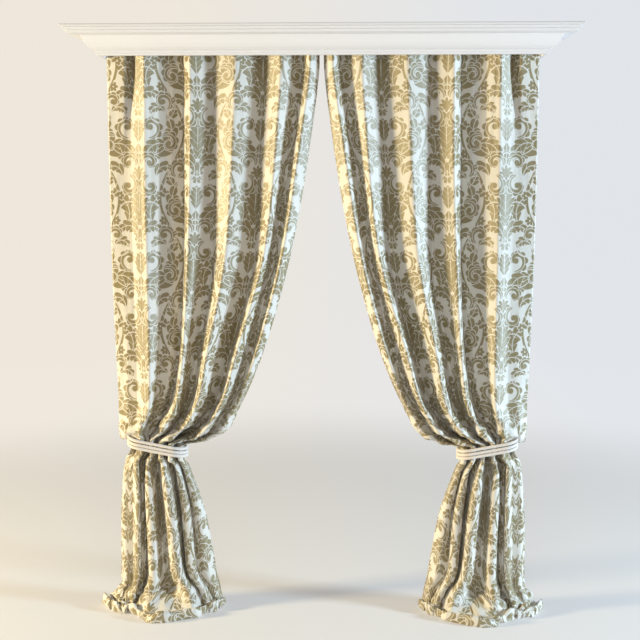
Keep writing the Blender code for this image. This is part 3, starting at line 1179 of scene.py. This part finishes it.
    def puddle(self, out: Array, deep: Array) -> tuple[Array, Array, Array]:
        """Out, depth and height of the cloth on the floor.

        Each point of the lowest hanging row moves straight away from the puddle's middle, and the
        valleys move most: distance = reach at that ring times (distance / foot)^fold.

        Args:
            out: the lowest hanging row.
            deep: the lowest hanging row.

        Returns:
            Out, depth and height, rows by points.
        """
        out = out - self.puddle_out
        deep = deep - self.puddle_deep
        turn = np.degrees(np.arctan2(deep, out))
        table = [(lobe.foot, lobe.reach, lobe.crown) for lobe in LOBES]
        foot, reach, crown = smooth_curve([lobe.turn for lobe in LOBES], table, turn).T
        inward = np.hypot(out, deep) / foot
        knots = np.arange(len(RINGS) + 1)
        start = (0.0, 1.0, 0.0)
        rings = np.array([start] + [(ring.spread, ring.fold, ring.high) for ring in RINGS])
        at = np.linspace(0, len(RINGS), self.puddle_rows + 1)[1:]
        spread, fold, share = smooth_curve(knots, rings, at).T[..., None]
        distance = (foot + (reach - foot) * spread) * inward**fold
        first = LEVELS[-1].outer_high
        highs = np.vstack([np.full_like(crown, first)] + [crown * ring.high for ring in RINGS])
        high = np.maximum(smooth_curve(knots, highs, at), self.hem_high)
        angle = np.radians(turn)
        return (self.puddle_out + distance * np.cos(angle), self.puddle_deep + distance * np.sin(angle),
                high)

    def normals(self, points: Array) -> Array:
        """Unit normals of the grid, the cross product of its two slopes.

        Args:
            points: rows by points by three.

        Returns:
            The normals, towards the room.
        """
        down, across = np.gradient(points, axis=(0, 1))
        normal = np.cross(down, across)
        normal /= np.maximum(np.linalg.norm(normal, axis=-1, keepdims=True), 1e-12)
        return normal * -self.side.value

    def droop(self, out: Array, high: Array) -> Array:
        """Sag of the cloth's edges over the ends of the cords, which fades as exp(-(z / reach)^2).

        Args:
            out: out of each point.
            high: height of each point.

        Returns:
            How far each point goes down.
        """
        near = np.exp(-((high - self.droop_high) / self.droop_reach)**2)
        outer = self.shoulder_share * smooth_step(*self.shoulder, out)
        outer = outer + self.rim_share * smooth_step(*self.rim, out)
        cords_end = self.gather.out - self.gather.half_width + 0.02
        inner = smooth_step(cords_end, self.inner_sag_out, out)
        return near * (self.outer_droop * outer + self.inner_droop * inner)

    def pouch(self, out: Array, high: Array) -> Array:
        """Swell of the cloth just above the cords, which fades as exp(-(z / reach)^2).

        Args:
            out: out of each point.
            high: height of each point.

        Returns:
            How far each point goes into the room.
        """
        near = np.exp(-((high - self.pouch_high) / self.pouch_reach)**2)
        outer = smooth_step(*self.pouch_inner, out) * smooth_step(*self.pouch_outer, out)
        return self.pouch_swell * near * outer

    def crumple(self, across: Array, down: Array, out: Array, high: Array) -> Array:
        """Small uneven creases: along the folds, puckers at the cords and rumples on the floor.

        Each is soft noise times its height and times a share that fades away from its place.

        Args:
            across: distance on the cloth from its outer edge.
            down: distance on the cloth from its head.
            out: out of each point.
            high: height of each point.

        Returns:
            How far each point goes along its normal.
        """
        seed = 11 if self.side is Side.LEFT else 23
        along = soft_noise(across * 55, down * 2.6, seed) * self.ripple
        along += soft_noise(across * 23, down * 1.7, seed + 1) * self.ripple
        top, top_fade = self.pucker_above
        foot, foot_fade = self.pucker_below
        above = np.exp(-(np.clip(high - top, 0, None) / top_fade)**2) * (high > self.cords_high)
        below = np.exp(-(np.clip(foot - high, 0, None) / foot_fade)**2) * (high <= self.cords_high)
        pucker = soft_noise(across * 14, down * 38, seed + 2)
        pucker += soft_noise(across * 30, down * 20, seed + 3)
        grown = 0.35 + 0.65 * smooth_step(*self.rumple_outs, out)
        floor = smooth_step(*self.rumple_heights, high) * grown
        rumple = soft_noise(across * 17, down * 30, seed + 4)
        rumple += 0.6 * soft_noise(across * 44, down * 46, seed)
        cords = self.gather.high + self.gather.slope * (out - self.gather.out)
        clear = smooth_step(*self.cords_clear, np.abs(high - cords))
        near_cords = (above + 0.5 * below) * clear
        return along + near_cords * pucker * self.pucker + floor * rumple * self.rumple

    def build(self, material: bpy.types.Material) -> bpy.types.Object:
        """Args:
            material: finish of the cloth.

        Returns:
            The panel.
        """
        hanging = self.hanging()
        lying = self.puddle(hanging[0][-1], hanging[1][-1])
        out, deep, high = (np.vstack(pair) for pair in zip(hanging, lying))
        deep = deep + self.pouch(out, high)
        high = high - self.droop(out, high)
        points = place(out, deep, high, self.side)
        rows, columns = out.shape
        steps_across = np.linalg.norm(np.diff(points, axis=1), axis=2)
        across = np.hstack([np.zeros((rows, 1)), np.cumsum(steps_across, axis=1)])
        log.info("rows are %.2f to %.2f m long", across[:, -1].min(), across[:, -1].max())
        across *= self.flat_width / across[:, -1:]
        steps_down = np.linalg.norm(np.diff(points, axis=0), axis=2)
        down = np.vstack([np.zeros((1, columns)), np.cumsum(steps_down, axis=0)])
        points += self.normals(points) * self.crumple(across, down, out, high)[..., None]
        points[..., 2] = np.maximum(points[..., 2], FLOOR_Z + self.hem_high)
        name = f"curtain_{self.side.name.lower()}"
        faces = grid_faces(rows, columns, self.side is Side.RIGHT)
        piece = new_piece(name, points, faces.tolist(), material)
        add_uv(piece, across, down)
        shell = piece.modifiers.new("thickness", "SOLIDIFY")
        shell.thickness = self.thickness
        shell.offset = 0.0
        node = f"panel_{self.side.name.lower()}"
        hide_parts(node)
        log.info("%s: %d rows by %d points", name, rows, columns)
        return piece


@dataclass
class Tieback:
    """Three cords, one above the other, round the gathered cloth.

    Attributes:
        side: which curtain.
        gather: the loop that they draw.
        diameter: of a cord.
        lifts: height of each cord above the middle one.
        cloth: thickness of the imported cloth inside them.
        seam: gap to it.
        path_steps: points along a cord.
        ring_steps: points round a cord.
        strands: strands of its twist.
        twists: turns of the twist along a cord.
        groove: depth of the grooves between strands.
    """

    side: Side
    gather: Gather
    diameter: float = 0.0148
    lifts: tuple[float, float, float] = (0.0186, 0.0, -0.0166)
    cloth: float = 0.0025
    seam: float = 0.0003
    path_steps: int = 360
    ring_steps: int = 20
    strands: int = 3
    twists: int = 22
    groove: float = 0.0003

    def loop(self) -> tuple[Array, Array, Array, Array]:
        """Centre line of a cord: two straight runs and two half circles.

        On a half circle the point is radius * (sin a, cos a) from its middle.

        Returns:
            Out and depth from the loop's middle, and out and depth of the outward direction.
        """
        grow = self.cloth / 2 + self.seam + self.diameter / 2
        radius = self.gather.half_depth + grow
        run = self.gather.half_width - self.gather.half_depth
        whole = 4 * run + TURN * radius
        along = np.linspace(0, whole, self.path_steps, endpoint=False)
        lap = (along + run) % (whole / 2)
        first = along + run < whole / 2
        first |= along + run >= whole
        heading = np.where(first, 1.0, -1.0)
        on_run = lap < 2 * run
        angle = np.where(on_run, 0.0, (lap - 2 * run) / radius)
        straight = np.where(on_run, lap - run, run)
        out = heading * (straight + radius * np.sin(angle))
        deep = heading * radius * np.cos(angle)
        return out, deep, heading * np.sin(angle), heading * np.cos(angle)

    def cord(self, order: int, material: bpy.types.Material) -> bpy.types.Object:
        """One closed cord.

        Its outline, radius - groove * (1 + cos(strands * angle + twist)) / 2, is carried along the
        loop.

        Args:
            order: its place from the top, from 0.
            material: finish of the cord.

        Returns:
            The cord.
        """
        out, deep, side_out, side_deep = (column[:, None] for column in self.loop())
        lift = self.lifts[order]
        angle = np.linspace(0, TURN, self.ring_steps, endpoint=False)[None, :]
        twist = np.linspace(0, TURN * self.twists, self.path_steps, endpoint=False)[:, None]
        dip = (1 + np.cos(self.strands * angle + twist)) / 2
        radius = self.diameter / 2 - self.groove * dip
        outs = self.gather.out + out + side_out * radius * np.cos(angle)
        deeps = self.gather.deep + deep + side_deep * radius * np.cos(angle)
        highs = self.gather.high + self.gather.slope * (outs - self.gather.out) + lift
        highs = highs + radius * np.sin(angle)
        points = place(outs, deeps, highs, self.side)
        points = np.vstack([points, points[:1]])
        faces = grid_faces(self.path_steps + 1, self.ring_steps, self.side is Side.LEFT, wrap=True)
        faces = np.where(faces >= self.path_steps * self.ring_steps,
                         faces - self.path_steps * self.ring_steps, faces)
        name = f"cord_{self.side.name.lower()}_{order + 1}"
        piece = new_piece(name, points[:-1], faces.tolist(), material)
        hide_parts(f"tie_{self.side.name.lower()}_{order + 1}")
        log.info("%s: closed cord", name)
        return piece

    def build(self, material: bpy.types.Material) -> list[bpy.types.Object]:
        """Make the three cords."""
        return [self.cord(order, material) for order in range(len(self.lifts))]


@dataclass(frozen=True)
class Corner:
    """A corner of the moulding's outline.

    Attributes:
        proud: how far it stands out past the foot's face.
        down: how far it lies below the top.
        round_off: radius of its rounding.
    """

    proud: float
    down: float
    round_off: float


@dataclass
class Cornice:
    """The moulded cornice: three fillets over a quarter round and two beads, mitred at its corners.

    Attributes:
        half_width: from the middle line to the foot's face on a return.
        depth: from the wall to the foot's face.
        seam: gap at a mitre.
        arc_steps: edges round a corner.
        support: distance of the points that keep the flats beside a corner flat.
        end_step: distance of the outlines that keep the faces straight up to a mitre.
        board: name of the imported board, which is only painted.
        corners: the outline, from the top of its back round the front.
    """

    half_width: float = 1.005
    depth: float = 0.207
    seam: float = 0.0003
    arc_steps: int = 4
    support: float = 0.0003
    end_step: float = 0.001
    board: str = "cornice_board"
    corners: tuple[Corner, ...] = (
        Corner(-0.0120, 0.0000, 0.0005),
        Corner(0.1370, 0.0000, 0.0030),
        Corner(0.1370, 0.0100, 0.0030),
        Corner(0.1245, 0.0112, 0.0004),
        Corner(0.1245, 0.0124, 0.0004),
        Corner(0.1260, 0.0128, 0.0006),
        Corner(0.1260, 0.0230, 0.0030),
        Corner(0.1130, 0.0242, 0.0004),
        Corner(0.1130, 0.0254, 0.0004),
        Corner(0.1145, 0.0258, 0.0006),
        Corner(0.1145, 0.0360, 0.0030),
        Corner(0.0640, 0.0400, 0.0020),
        Corner(0.0600, 0.0470, 0.0060),
        Corner(0.0530, 0.0600, 0.0450),
        Corner(0.0450, 0.0760, 0.0450),
        Corner(0.0340, 0.0890, 0.0350),
        Corner(0.0200, 0.0980, 0.0300),
        Corner(0.0060, 0.1020, 0.0010),
        Corner(0.0110, 0.1035, 0.0015),
        Corner(0.0110, 0.1105, 0.0025),
        Corner(0.0055, 0.1115, 0.0004),
        Corner(0.0055, 0.1127, 0.0004),
        Corner(0.0075, 0.1135, 0.0015),
        Corner(0.0075, 0.1215, 0.0025),
        Corner(0.0000, 0.1230, 0.0005),
        Corner(-0.0120, 0.1230, 0.0005),
    )

    def outline(self) -> Array:
        """Closed outline with rounded corners.

        With a half the angle at a corner and r its radius, the arc starts r / tan(a) from the corner
        and its middle lies r / sin(a) from it, on the line that halves the angle.

        Returns:
            Distance out and height above the top, points by two.
        """
        spots = np.array([(corner.proud, -corner.down) for corner in self.corners])
        radius = np.array([[corner.round_off] for corner in self.corners])
        sides = [np.roll(spots, shift, axis=0) - spots for shift in (1, -1)]
        back, ahead = (side / np.linalg.norm(side, axis=1, keepdims=True) for side in sides)
        inward = (back + ahead) / np.linalg.norm(back + ahead, axis=1, keepdims=True)
        half = np.arccos(np.clip((back * inward).sum(axis=1, keepdims=True), -1, 1))
        start = spots + back * radius / np.tan(half)
        end = spots + ahead * radius / np.tan(half)
        middle = (spots + inward * radius / np.sin(half))[:, None]
        share = np.linspace(0, 1, self.arc_steps + 1)[None, :, None]
        arm = (start[:, None] - middle) * (1 - share) + (end[:, None] - middle) * share
        arc = middle + radius[:, None] * arm / np.linalg.norm(arm, axis=2, keepdims=True)
        before = (start + back * self.support)[:, None]
        after = (end + ahead * self.support)[:, None]
        return np.concatenate([before, arc, after], axis=1).reshape(-1, 2)

    def length(self, name: str, node: str, rings: Array, flip: bool,
               material: bpy.types.Material) -> None:
        """One length of moulding.

        Args:
            name: name of the piece.
            node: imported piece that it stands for.
            rings: the outline at its two ends, 2 by points by three.
            flip: turn the faces over.
            material: its paint.
        """
        run = rings[1] - rings[0]
        step = run * self.end_step / np.linalg.norm(run, axis=1, keepdims=True)
        rings = np.array([rings[0], rings[0] + step, rings[1] - step, rings[1]])
        points = rings.shape[1]
        faces = grid_faces(len(rings), points, flip, wrap=True).tolist()
        last = (len(rings) - 1) * points
        near, far = list(range(points)), list(range(last, last + points))
        ends = [near[::-1], far] if flip else [near, far[::-1]]
        piece = new_piece(name, rings, faces + ends, material, flat_faces=len(ends))
        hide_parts(node)
        log.info("%s: outline of %d points", name, points)

    def build(self, material: bpy.types.Material) -> None:
        """Make the front and the two returns, and paint the board.

        Args:
            material: the paint.
        """
        out, high = self.outline().T
        high = high + CORNICE_TOP
        gap = self.seam / math.sqrt(2)
        end = self.half_width - gap + out
        front = [np.stack([sign * end, -self.depth - out, high], axis=-1) for sign in (-1, 1)]
        self.length("moulding_front", "cornice_front", np.array(front), True, material)
        for sign, side in ((-1, "left"), (1, "right")):
            reach = sign * (self.half_width + out)
            wall = np.stack([reach, 0 * out, high], axis=-1)
            mitre = np.stack([reach, gap - self.depth - out, high], axis=-1)
            self.length(f"moulding_{side}", f"cornice_return_{side}", np.array([wall, mitre]), sign < 0,
                        material)
        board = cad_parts[self.board]
        board.data.materials.clear()
        board.data.materials.append(material)
        log.info("%s: painted", self.board)


# Studio


@dataclass(frozen=True)
class Lamp:
    """A square soft light.

    Attributes:
        name: its name.
        bearing: degrees from the room's middle line, positive to the right.
        reach: its distance from the curtains.
        high: its height above the floor.
        size: length of its side.
        power: its power in watts.
        colour: its colour.
    """

    name: str
    bearing: float
    reach: float
    high: float
    size: float
    power: float
    colour: Colour

    def build(self) -> None:
        """Place the light, turned to the middle of the curtains and hidden from the camera itself."""
        data = bpy.data.lights.new(self.name, "AREA")
        data.shape = "SQUARE"
        data.size = self.size
        data.energy = self.power
        data.color = self.colour
        lamp = bpy.data.objects.new(self.name, data)
        bearing = math.radians(self.bearing)
        lamp.location = (self.reach * math.sin(bearing), -self.reach * math.cos(bearing),
                         self.high + FLOOR_Z)
        middle = Vector((0.0, -0.1, TOTAL_HEIGHT / 2 + FLOOR_Z))
        lamp.rotation_euler = (middle - lamp.location).to_track_quat("-Z", "Y").to_euler()
        lamp.visible_camera = False
        bpy.context.scene.collection.objects.link(lamp)


@dataclass(frozen=True)
class BackdropFinish:
    """Pale matt floor round the curtains, that passes into an even glow farther away.

    Attributes:
        cream: glow at its left.
        grey: glow at its right.
        paint: colour of the matt floor.
        strength: strength of the glow far behind the curtains.
        near: share of that glow round the curtains.
        front: share of that glow far in front of them.
        side_slope: change from cream to grey over each metre to the right.
        far_slope: growth of the glow over each metre from the middle.
        far_start: its value at the middle, before it is kept above 0.
        behind_slope: change from front to behind over each metre from the room to the wall.
        far_paint: colour of the floor where the glow is whole.
    """

    cream: Colour = (0.84, 0.78, 0.69)
    grey: Colour = (0.74, 0.77, 0.81)
    paint: Colour = (0.56, 0.55, 0.54)
    strength: float = 1.0
    near: float = 0.32
    front: float = 0.19
    side_slope: float = 0.20
    far_slope: float = 0.33
    far_start: float = -0.60
    behind_slope: float = 0.125
    far_paint: Colour = (0.02, 0.02, 0.02)

    def build(self, name: str) -> bpy.types.Material:
        """Make the material, on object coordinates.

        Args:
            name: name of the material.

        Returns:
            The material.
        """
        material, tree, shader = new_material(name)
        material.cycles.emission_sampling = "NONE"
        coordinate = tree.nodes.new("ShaderNodeTexCoord")
        split = tree.nodes.new("ShaderNodeSeparateXYZ")
        tree.links.new(coordinate.outputs["Object"], split.inputs[0])
        right, back = Field(tree, split.outputs[0]), Field(tree, split.outputs[1])
        sideways = right.ramp(self.side_slope, 0.5)
        reach = (right * right + back * back).math("SQRT")
        far = reach.ramp(self.far_slope, self.far_start)
        far = far * far * far.line(-2.0, 3.0)
        behind = back.ramp(self.behind_slope, 0.5)
        behind = behind * behind * behind.line(-2.0, 3.0)
        distant = behind.line(self.strength * (1 - self.front), self.strength * self.front)
        glow = far * (distant - self.strength * self.near) + self.strength * self.near
        colour = blend_colours(tree, sideways, self.cream, self.grey)
        tree.links.new(colour, shader.inputs["Emission Color"])
        tree.links.new(glow.socket, shader.inputs["Emission Strength"])
        paint = blend_colours(tree, far, self.paint, self.far_paint)
        tree.links.new(paint, shader.inputs["Base Color"])
        shader.inputs["Roughness"].default_value = 0.9
        shader.inputs["Specular IOR Level"].default_value = 0.1
        return material


@dataclass
class Studio:
    """A round pale room with a coved floor, the lights and the camera.

    Attributes:
        radius: radius of the room.
        cove: radius of the cove at the floor's edge.
        wall_high: height of its wall.
        eye: the camera's place, with its height above the floor.
        pan: degrees that it looks to the left.
        tip: degrees that it looks down.
        lens: its focal length in millimetres.
        sensor: width of its sensor in millimetres.
        round_steps: edges round the room.
        cove_steps: edges up the cove.
        floor_steps: rings of the floor.
        sky: colour of the light from all round.
        sky_strength: its strength.
        lamps: the lights.
    """

    radius: float = 11.0
    cove: float = 4.0
    wall_high: float = 9.0
    eye: tuple[float, float, float] = (0.160, -5.150, 2.081)
    pan: float = 1.91
    tip: float = 7.48
    lens: float = 60.8
    sensor: float = 36.0
    round_steps: int = 96
    cove_steps: int = 18
    floor_steps: int = 12
    sky: Colour = (0.95, 0.97, 1.0)
    sky_strength: float = 0.05
    lamps: tuple[Lamp, ...] = (
        Lamp("warm_key", -75, 7.0, 2.0, 0.9, 685.0, (1.0, 0.83, 0.50)),
        Lamp("cool_key", 75, 7.0, 2.0, 0.9, 630.0, (0.61, 0.81, 1.0)),
        Lamp("soft_front", 0, 6.0, 3.2, 3.0, 74.0, (1.0, 0.97, 0.93)),
        Lamp("soft_top", 0, 2.4, 6.0, 2.5, 12.0, (1.0, 0.98, 0.95)),
    )

    def room(self) -> None:
        """Floor, cove and wall as one turned surface."""
        around = np.linspace(0, TURN, self.round_steps + 1)[None, :-1]
        turn = np.radians(np.linspace(0, 90, self.cove_steps + 1))
        flat = np.linspace(0.01, self.radius - self.cove, self.floor_steps)
        reach = np.concatenate([flat, self.radius - self.cove + self.cove * np.sin(turn[1:])])
        high = np.concatenate([0 * flat, self.cove * (1 - np.cos(turn[1:]))])
        reach = np.append(reach, self.radius)[:, None]
        high = np.append(high, self.wall_high)[:, None]
        points = np.stack(np.broadcast_arrays(reach * np.cos(around), reach * np.sin(around),
                                              high + FLOOR_Z), axis=-1)
        mesh = bpy.data.meshes.new("studio_room")
        faces = grid_faces(len(reach), around.size, True, wrap=True)
        centre = np.arange(around.size)[::-1]
        mesh.from_pydata(points.reshape(-1, 3).tolist(), [], faces.tolist() + [centre.tolist()])
        mesh.polygons.foreach_set("use_smooth", np.full(len(mesh.polygons), True))
        mesh.materials.append(BackdropFinish().build("studio_backdrop"))
        room = bpy.data.objects.new("studio_room", mesh)
        bpy.context.scene.collection.objects.link(room)

    def camera(self) -> None:
        """Place the camera at the photo's angle."""
        data = bpy.data.cameras.new("camera")
        data.sensor_width = self.sensor
        data.lens = self.lens
        camera = bpy.data.objects.new("camera", data)
        camera.location = (self.eye[0], self.eye[1], self.eye[2] + FLOOR_Z)
        camera.rotation_euler = (math.radians(90 - self.tip), 0.0, math.radians(self.pan))
        bpy.context.scene.collection.objects.link(camera)
        bpy.context.scene.camera = camera

    def build(self) -> None:
        """Make the room, its lights and the camera."""
        self.room()
        for lamp in self.lamps:
            lamp.build()
        self.camera()
        world = bpy.data.worlds.new("studio")
        world.use_nodes = True
        sky = world.node_tree.nodes["Background"]
        sky.inputs["Color"].default_value = (*self.sky, 1.0)
        sky.inputs["Strength"].default_value = self.sky_strength
        bpy.context.scene.world = world
        bpy.context.scene.view_settings.view_transform = "Standard"


def main() -> None:
    """Build the pieces in order, then the studio."""
    logging.basicConfig(level=logging.INFO, format="%(name)s: %(message)s")
    damask = DamaskFinish().build("damask_cloth")
    silk = CordFinish().build("silk_cord")
    paint = PaintFinish().build("satin_paint")
    gather = Gather()
    Cornice().build(paint)
    for side in Side:
        CurtainPanel(side, gather).build(damask)
        Tieback(side, gather).build(silk)
    Studio().build()


if __name__ == "__main__":
    main()
